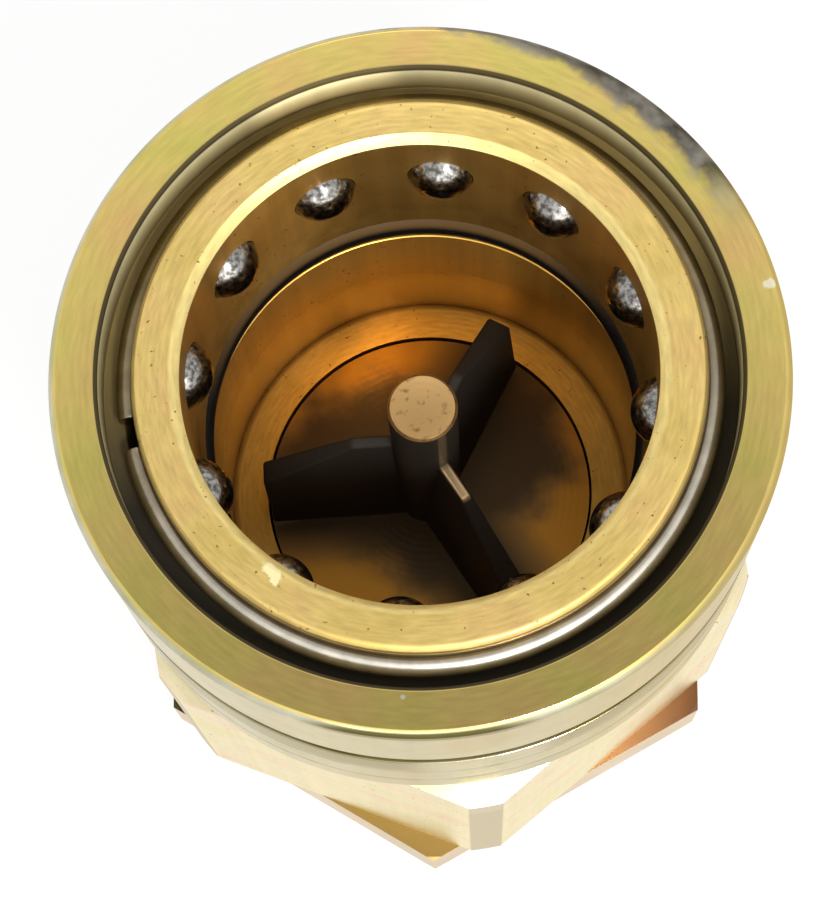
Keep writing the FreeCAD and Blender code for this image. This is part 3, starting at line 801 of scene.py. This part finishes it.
# two places nearer than this, in metres, count as one
CLOSE = 1e-6


def select_vertices(piece, test):
    """Selects the vertices that pass a test of their place, and leaves the piece in edit mode."""
    bpy.ops.object.mode_set(mode="OBJECT")
    mesh = piece.data
    for part in (mesh.vertices, mesh.edges, mesh.polygons):
        part.foreach_set("select", [False] * len(part))
    for vertex in mesh.vertices:
        vertex.select = test(vertex.co)
    bpy.ops.object.mode_set(mode="EDIT")
    bpy.ops.mesh.select_mode(type="VERT")


def turn_selected(angle):
    """Turns what is selected by degrees about the axis."""
    bpy.ops.transform.rotate(value=-math.radians(angle), orient_axis="Z", center_override=(0, 0, 0))


def copy_round(count):
    """Copies all of the open mesh so that it stands a number of times round the axis."""
    bpy.ops.mesh.select_all(action="SELECT")
    bpy.ops.mesh.spin(dupli=True, steps=count - 1, angle=2 * math.pi * (count - 1) / count,
                      center=(0, 0, 0), axis=(0, 0, 1))


def ball_hole_cutter():
    """Round-nosed drills that point at the axis, one for each ball."""
    cutter = start_piece(
        "ball_hole_cutter", bpy.ops.mesh.primitive_uv_sphere_add, segments=48, ring_count=24,
        radius=hole_radius * MM, location=ball_centre, rotation=(0, math.radians(90), 0))
    select_vertices(cutter, lambda co: co.x > ball_centre.x + CLOSE)
    bpy.ops.mesh.delete(type="VERT")
    select_vertices(cutter, lambda co: abs(co.x - ball_centre.x) < CLOSE)
    bpy.ops.mesh.extrude_region_move(TRANSFORM_OT_translate={"value": (hole_length * MM, 0, 0)})
    bpy.ops.mesh.edge_face_add()
    bpy.ops.mesh.select_all(action="SELECT")
    bpy.ops.mesh.normals_make_consistent(inside=False)
    turn_selected(first_ball)
    copy_round(ball_count)
    bpy.ops.object.mode_set(mode="OBJECT")
    return cutter


# %% [markdown]
# The body's section is walked from the rim down the outside and back up the inside. Each stretch of
# it is a list of its own, so that it can be found and changed.

# %% Coupling body
hex_corner, hex_turned, hex_face, hex_start, hex_end = 29.330, 28.570, 25.0, 31.2, 64.0
body_hex_angle, hex_edge, hex_slope = 29.5, 0.4, math.tan(math.radians(25))
barrel_radius, collar_radius, collar_start = 21.406, 24.126, 23.085
rim_round, chamfer_radius, chamfer_depth = 0.7, 18.55, 0.6
ring_radius, ring_depth, ring_wire, groove_root = 21.756, 2.6, 2.0, 20.736
entry_radius, lead_start, lead_end, lip_radius = 17.8, 13.0, 14.2, 17.45
seal_start, seal_end, seal_root = 15.6, 19.2, 19.97
bore_radius, ledge_depth = 17.25, 36.7
throat_radius, seat_start, seat_edge, seat_end = 14.2, 39.2, 17.2, 42.2
room_radius, room_end, socket_radius = 19.9, 47.5, 21.6
rim = [(chamfer_radius, 0), *arc((barrel_radius - rim_round, rim_round), rim_round, -90, 0, 3)]
# half of the ring's groove, as radius and distance from its middle: close to the wire at its lips,
# with a little play at its root; the other half mirrors it
half_groove = [(barrel_radius, 0.936), (21.15, 0.8), (20.85, 0.45)]
ring_groove = [
    *[(radius, ring_depth - apart) for radius, apart in half_groove], (groove_root, ring_depth),
    *[(radius, ring_depth + apart) for radius, apart in reversed(half_groove)]]
collar = [(barrel_radius, collar_start), (collar_radius, collar_start), (collar_radius, hex_start)]
hex_bar = [
    (hex_face, hex_start), (hex_turned, hex_start + (hex_turned - hex_face) * hex_slope),
    (hex_turned, hex_end - hex_edge * hex_slope), (hex_turned - hex_edge, hex_end)]
adapter_seat = [
    (socket_radius, hex_end), (socket_radius, room_end), (room_radius, room_end), (room_radius, seat_end)]
valve_seat = [(seat_edge, seat_end), (throat_radius, seat_start), (throat_radius, ledge_depth)]
bore = [
    (bore_radius, ledge_depth), (bore_radius, seal_end + 0.15), (bore_radius + 0.05, seal_end + 0.04),
    (bore_radius + 0.15, seal_end)]
seal_groove = [(seal_root, seal_end), (seal_root, seal_start), (lip_radius, seal_start)]
entry = [(lip_radius, lead_end), (entry_radius, lead_start), (entry_radius, chamfer_depth)]
outside = rim + ring_groove + collar + hex_bar
inside = adapter_seat + valve_seat + bore + seal_groove + entry
body = turn_on_lathe("body", outside + inside, steps=256)
cut_with(body, flats_cutter(hex_corner, body_hex_angle, hex_start, hex_end))
cut_with(body, ball_hole_cutter())
break_edges(body, 0.07, angle=24, smooth=20)
finish_piece(body, "coupling_body", "body_chromate", body_finish, "coupling_body")

# %% [markdown]
# The adapter screws into the body from behind and ends in the pipe port. The port's thread is a
# triangle run up a helix: the Screw modifier winds one tooth round the axis, and a union joins it to
# the wall.


# %% Port thread
port_end, port_radius = 71.4, 16.625


def port_thread():
    """The ridge of an internal pipe thread, wound up from just inside the port."""
    pitch, turns, steps, crest_radius, lead_in, root_overlap = 2.309, 5, 64, 15.15, 1.0, 0.1
    foot = port_radius + root_overlap
    tooth = [(foot, -0.95), (crest_radius, -0.25), (crest_radius, 0.25), (foot, 0.95)]
    start = height(port_end - lead_in)
    points = [Vector((radius * MM, 0, start + rise * MM)) for radius, rise in tooth]
    ridge = draw_line("port_thread", points + points[:1])
    bpy.ops.object.mode_set(mode="OBJECT")
    apply_modifier(ridge, "SCREW", axis="Z", angle=2 * math.pi, screw_offset=pitch * MM,
                   iterations=turns, steps=steps, render_steps=steps, use_smooth_shade=False)
    open_mesh(ridge)
    bpy.ops.mesh.remove_doubles(threshold=WELD)
    bpy.ops.mesh.select_all(action="DESELECT")
    bpy.ops.mesh.select_non_manifold()
    bpy.ops.mesh.fill_holes(sides=0)
    close_mesh()
    return ridge


# %% End adapter
spigot_radius, spigot_inside, spigot_start, adapter_hex_angle = 21.5, 18.6, 48.0, 19.4
slot_start, slot_end, slot_root = 49.2, 51.4, 19.96
port_start, port_edge, shoulder_radius, shoulder_start = 58.4, 0.8, 15.0, 57.4
spigot = [
    (spigot_inside, spigot_start), (spigot_radius, spigot_start), (spigot_radius, slot_start),
    (slot_root, slot_start), (slot_root, slot_end), (spigot_radius, slot_end), (spigot_radius, hex_end)]
adapter_bar = [
    (hex_corner - hex_edge, hex_end), (hex_corner, hex_end + hex_edge * hex_slope),
    (hex_corner, port_end - 2 * hex_edge * hex_slope), (hex_corner - 2 * hex_edge, port_end)]
port = [
    (port_radius + port_edge, port_end), (port_radius, port_end - port_edge), (port_radius, port_start),
    (shoulder_radius, port_start), (shoulder_radius, shoulder_start), (spigot_inside, shoulder_start)]
adapter = turn_on_lathe("adapter", spigot + adapter_bar + port)
cut_with(adapter, flats_cutter(hex_corner, adapter_hex_angle, hex_end, port_end))
break_edges(adapter, 0.12, angle=24, smooth=20)
cut_with(adapter, port_thread(), "UNION")
finish_piece(adapter, "coupling_body", "adapter_chromate", adapter_finish, "end_adapter")

# %% [markdown]
# A ball starts as a cube. Subdividing it and pulling it to a sphere gives even faces with no poles,
# so the room's reflection stays clean. One ball is modelled, and the others are copies with a mesh
# of their own, turned to their places.

# %% Locking balls
ball_radius = 2.778 * MM
first = start_piece("ball_01", bpy.ops.mesh.primitive_cube_add, size=2 * ball_radius,
                    location=ball_centre)
bpy.ops.mesh.subdivide(number_cuts=15)
bpy.ops.object.mode_set(mode="OBJECT")
apply_modifier(first, "SMOOTH", factor=0.5, iterations=2)
first.data.transform(Matrix.Translation(-ball_centre))
apply_modifier(first, "CAST", cast_type="SPHERE", factor=1.0, size=ball_radius,
               use_radius_as_size=False)
first.data.transform(Matrix.Translation(ball_centre))
bpy.ops.object.shade_smooth()
balls = [first] + [first.copy() for number in range(1, ball_count)]
for number, ball in enumerate(balls):
    if number:
        ball.data = first.data.copy()
        ball.name = ball.data.name = "ball_%02d" % (number + 1)
        bpy.context.collection.objects.link(ball)
        ball.data.transform(Matrix.Rotation(2 * math.pi * number / ball_count, 4, "Z"))
for ball in balls:
    ball.data.transform(Matrix.Rotation(math.radians(first_ball), 4, "Z"))
    finish_piece(ball, ball.name, "ball_steel", ball_finish, "locking_%s" % ball.name)

# %% [markdown]
# The retaining ring is round wire, bent to an open ring that springs into its groove. It is turned
# like the rest but stopped six degrees short, and the two open ends are filled.

# %% Retaining ring
ring_gap, gap_middle = 6.0, 181.6
ring_section = ring_outline(ring_radius, ring_depth, ring_wire)
ring = turn_on_lathe("retaining_wire", ring_section, sweep=math.radians(360 - ring_gap))
open_mesh(ring)
turn_selected(gap_middle - ring_gap / 2)
bpy.ops.mesh.select_all(action="DESELECT")
bpy.ops.mesh.select_non_manifold()
bpy.ops.mesh.fill_holes(sides=0)
bpy.ops.object.mode_set(mode="OBJECT")
break_edges(ring, 0.2, angle=50)
finish_piece(ring, "coupling_body", "ring_wire", ring_finish, "retaining_ring")

# %% [markdown]
# The seal rings are plain rounds of rubber. Each lies in its groove, and only the first one, in the
# bore, can be seen.

# %% Seal rings
for name, body_name, node, seal_radius, seal_depth, section in (
        ("nose_o_ring", "coupling_body", "nose_seal", 18.45, 17.4, 3.0),
        ("poppet_o_ring", "poppet", "poppet_seal", 14.957, 41.442, 2.0),
        ("adapter_o_ring", "coupling_body", "adapter_seal", 20.78, 50.3, 1.6)):
    seal = turn_on_lathe(name, ring_outline(seal_radius, seal_depth, section), steps=160)
    only_select(seal)
    bpy.ops.object.shade_smooth()
    finish_piece(seal, body_name, "seal_rubber", seal_finish, node)

# %% [markdown]
# The poppet is the valve. Its pin stands up in the bore where the plug's own valve meets it, and three
# wings hold it in line. The seal's groove runs round the cone at the back, open towards the seat.

# %% Turned part of the poppet
pin_radius, disc_radius, seat_radius, stem_radius = 2.75, 14.0, 17.2, 3.5
pin_end, pin_edge, stem_end = 10.6, 0.2, 57.9
cone_start, cone_end, disc_end = 39.212, 42.412, 44.012
# the cone faces 45 degrees upwards, and its groove is open by some degrees to each side of that
groove_centre, groove_radius, groove_open, cone_faces = (14.957, 41.442), 1.02, 28, -45
groove = arc(groove_centre, groove_radius, cone_faces - groove_open, cone_faces + groove_open - 360, 10)
pin = [(0, pin_end), (pin_radius - pin_edge, pin_end), (pin_radius, pin_end + pin_edge),
       (pin_radius, face_depth)]
disc = [(disc_radius, face_depth), (disc_radius, cone_start), *groove, (seat_radius, cone_end),
        (seat_radius, disc_end)]
stem = [(stem_radius, disc_end), (stem_radius, stem_end), (0, stem_end)]
poppet = turn_on_lathe("poppet_valve", pin + disc + stem, steps=128, closed=False)

# %% [markdown]
# A wing is a block, narrowed at the top, cut off aslant where the bore's ledge would catch it, and
# rounded along its edges. It is copied twice round the pin, and a union joins all to the valve.

# %% Wings of the poppet
wing_top, wing_foot, wing_reach = 19.5, 37.6, 13.85
wing_flat, wing_shoulder, wing_spare = 6.0, 27.3, 0.15
foot_width, top_width = 3.6, 1.0
wings = start_piece("wings", bpy.ops.mesh.primitive_cube_add, size=1,
                    location=(wing_reach / 2 * MM, 0, height((wing_top + wing_foot) / 2)),
                    scale=(wing_reach * MM, foot_width * MM, (wing_foot - wing_top) * MM))
select_vertices(wings, lambda co: co.z > height(wing_top) - CLOSE)
bpy.ops.transform.resize(value=(1, top_width / foot_width, 1), center_override=(0, 0, 0))
bpy.ops.mesh.select_all(action="SELECT")
slope = Vector((wing_shoulder - wing_top, 0, wing_reach + wing_spare - wing_flat)).normalized()
bpy.ops.mesh.bisect(plane_co=(wing_flat * MM, 0, height(wing_top)), plane_no=slope, use_fill=True,
                    clear_outer=True)
close_mesh()
apply_modifier(wings, "BEVEL", width=0.3 * MM, segments=3, limit_method="ANGLE",
               angle_limit=math.radians(15))
open_mesh(wings)
turn_selected(wing_angle)
copy_round(wing_count)
close_mesh()
cut_with(poppet, wings, "UNION")
break_edges(poppet, 0.06, angle=25)
finish_piece(poppet, "poppet", "poppet_brass", poppet_finish, "poppet")

# %% [markdown]
# Behind the valve sits its guide: a ring that rests in the adapter, three arms and a hub with a hole
# for the stem. Ring and hub are turned, the arms are blocks between them, and unions make them one.

# %% Valve guide
guide_start, guide_end, hub_start = 54.9, 57.4, 51.4
arm_start, arm_end, arm_width, arm_angle, arm_count = 5.0, 16.8, 3.5, 20.0, 3
guide_inside, guide_radius, hub_hole, hub_radius = 16.0, 18.5, 3.55, 6.0
guide_outline = [
    (guide_inside, guide_start), (guide_radius, guide_start), (guide_radius, guide_end),
    (guide_inside, guide_end)]
hub_outline = [
    (hub_hole, hub_start), (hub_radius, hub_start), (hub_radius, guide_end), (hub_hole, guide_end)]
guide = turn_on_lathe("guide", guide_outline, steps=128)
hub = turn_on_lathe("hub", hub_outline, steps=96)
arms = start_piece("arms", bpy.ops.mesh.primitive_cube_add, size=1,
                   location=((arm_start + arm_end) / 2 * MM, 0, height((guide_start + guide_end) / 2)),
                   scale=((arm_end - arm_start) * MM, arm_width * MM, (guide_end - guide_start) * MM))
turn_selected(arm_angle)
copy_round(arm_count)
close_mesh()
cut_with(guide, hub, "UNION")
cut_with(guide, arms, "UNION")
break_edges(guide, 0.15, angle=25)
finish_piece(guide, "coupling_body", "guide_brass", guide_finish, "valve_guide")

# %% [markdown]
# A spring can't follow a joint as a stiff piece does: one end stays and the other moves. Each spring
# here is a merged and smoothed copy of its CAD coil, with a mesh of its own, that stands for the CAD
# node.


# %% Springs
def make_spring(name, node, body_name):
    """A merged, smoothly shaded copy of a CAD coil that stands for it."""
    coil = bpy.data.objects.new(name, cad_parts[node].data.copy())
    coil.data.name = name
    bpy.context.collection.objects.link(coil)
    open_mesh(coil)
    bpy.ops.mesh.remove_doubles(threshold=CLOSE)
    bpy.ops.object.mode_set(mode="OBJECT")
    bpy.ops.object.shade_smooth_by_angle(angle=math.radians(50))
    finish_piece(coil, body_name, "spring_wire", wire_finish, node)
    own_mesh(coil)


make_spring("sleeve_coil", "sleeve_spring", "coupling_body")
make_spring("valve_coil", "valve_spring", "coupling_body")
